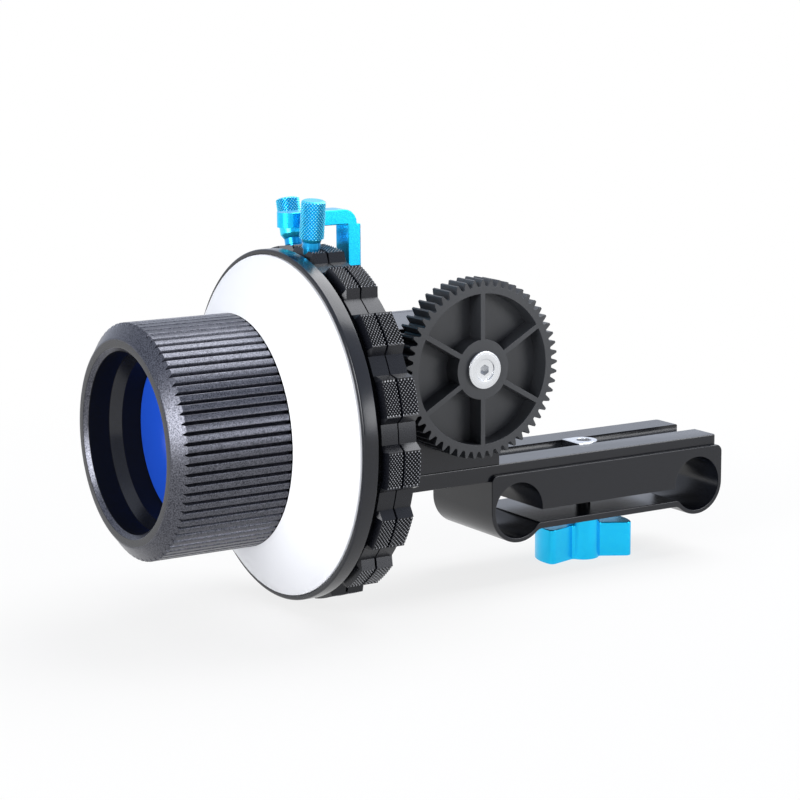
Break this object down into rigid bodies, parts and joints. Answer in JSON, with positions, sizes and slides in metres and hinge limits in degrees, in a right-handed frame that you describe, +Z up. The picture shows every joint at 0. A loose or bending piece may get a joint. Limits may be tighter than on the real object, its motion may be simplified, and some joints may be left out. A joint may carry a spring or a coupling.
{
  "type": "follow focus",
  "caption": "Geared follow focus for two 15 mm rods, with a large ribbed hand wheel, white marking ring, adjustable stop rings and a sliding gearbox arm.",
  "frame": {"origin": "axis of the wheel-side rod bore at the clamp's front face", "axes": "+Y along the rods, away from the drive gear's side; +X along the hand wheel's axis, away from the wheel; +Z up"},
  "size_m": [0.1763, 0.0904, 0.1053],
  "materials": {
    "black_anodised": "satin black anodised",
    "blue_anodised": "bright blue anodised",
    "white_plastic": "satin white",
    "blue_disc": "polished deep blue",
    "black_nylon": "satin black moulded",
    "steel": "turned and polished",
    "black_steel": "black oxide",
    "bronze": "sintered bronze"
  },
  "bodies": {
    "clamp": {"rod_clamp": "black_anodised", "t_nut": "steel", "clamp_washer": "steel"},
    "knob": {"wing_knob": "blue_anodised", "clamp_stud": "steel"},
    "arm": {"slide_bar": "black_anodised", "bar_screws": "black_steel", "gearbox_housing": "black_anodised", "gearbox_cover": "black_anodised", "cover_screws": "black_steel", "main_bearing_outer": "steel", "main_bearing_inner": "steel", "idler_bush_front": "bronze", "idler_bush_rear": "bronze", "output_bush_front": "bronze", "output_bush_rear": "bronze", "stop_bracket": "blue_anodised", "bracket_screws": "black_steel"},
    "wheel": {"hand_wheel": "black_anodised", "wheel_disc": "blue_disc", "wheel_screws": "black_steel", "marking_ring": "white_plastic", "wheel_hub": "black_anodised", "hub_screw": "black_steel", "friction_washer": "black_nylon", "ring_retainer": "black_steel", "main_shaft": "steel", "shaft_collar": "steel", "input_bevel_gear": "steel"},
    "idler": {"idler_shaft": "steel", "idler_bevel_gear": "steel", "idler_spur_gear": "steel"},
    "drive": {"output_shaft": "steel", "output_spur_gear": "steel", "drive_gear": "black_nylon", "gear_spacer": "steel", "gear_screw": "steel"},
    "ring_a": {"stop_ring_a": "black_anodised"},
    "ring_b": {"stop_ring_b": "black_anodised"},
    "screw_a": {"stop_screw_a": "blue_anodised"},
    "screw_b": {"stop_screw_b": "blue_anodised"}
  },
  "joints": [
    {"name": "knob_turn", "type": "hinge", "parent": "clamp", "child": "knob", "pos_m": [0.0315, 0.0145, 0], "axis": [0, 0, 1], "range_deg": [-720, 0]},
    {"name": "arm_slide", "type": "slide", "parent": "clamp", "child": "arm", "axis": [1, 0, 0], "range_m": [-0.028, 0.029]},
    {"name": "wheel_spin", "type": "hinge", "parent": "arm", "child": "wheel", "pos_m": [0, 0.0145, 0.0278], "axis": [1, 0, 0], "continuous": true},
    {"name": "idler_spin", "type": "hinge", "parent": "arm", "child": "idler", "pos_m": [-0.0168, 0, 0.0278], "axis": [0, 1, 0], "continuous": true},
    {"name": "gear_spin", "type": "hinge", "parent": "arm", "child": "drive", "pos_m": [-0.0168, 0, 0.0406], "axis": [0, 1, 0], "continuous": true},
    {"name": "stop_ring_a_turn", "type": "hinge", "parent": "arm", "child": "ring_a", "pos_m": [-0.0575, 0.0145, 0.0278], "axis": [1, 0, 0], "range_deg": [0, 332]},
    {"name": "stop_ring_b_turn", "type": "hinge", "parent": "arm", "child": "ring_b", "pos_m": [-0.05245, 0.0145, 0.0278], "axis": [1, 0, 0], "range_deg": [-332, 7.4]},
    {"name": "stop_screw_a_turn", "type": "hinge", "parent": "ring_a", "child": "screw_a", "pos_m": [-0.0575, 0.00771, 0.07936], "axis": [0, -0.1305, 0.9914], "range_deg": [-150, 720]},
    {"name": "stop_screw_b_turn", "type": "hinge", "parent": "ring_b", "child": "screw_b", "pos_m": [-0.05245, 0.02796, 0.07803], "axis": [0, 0.2588, 0.9659], "range_deg": [-150, 720]}
  ],
  "couplings": [
    {"joint": "idler_spin", "follows": "wheel_spin", "ratio": 1},
    {"joint": "gear_spin", "follows": "wheel_spin", "ratio": -1}
  ]
}
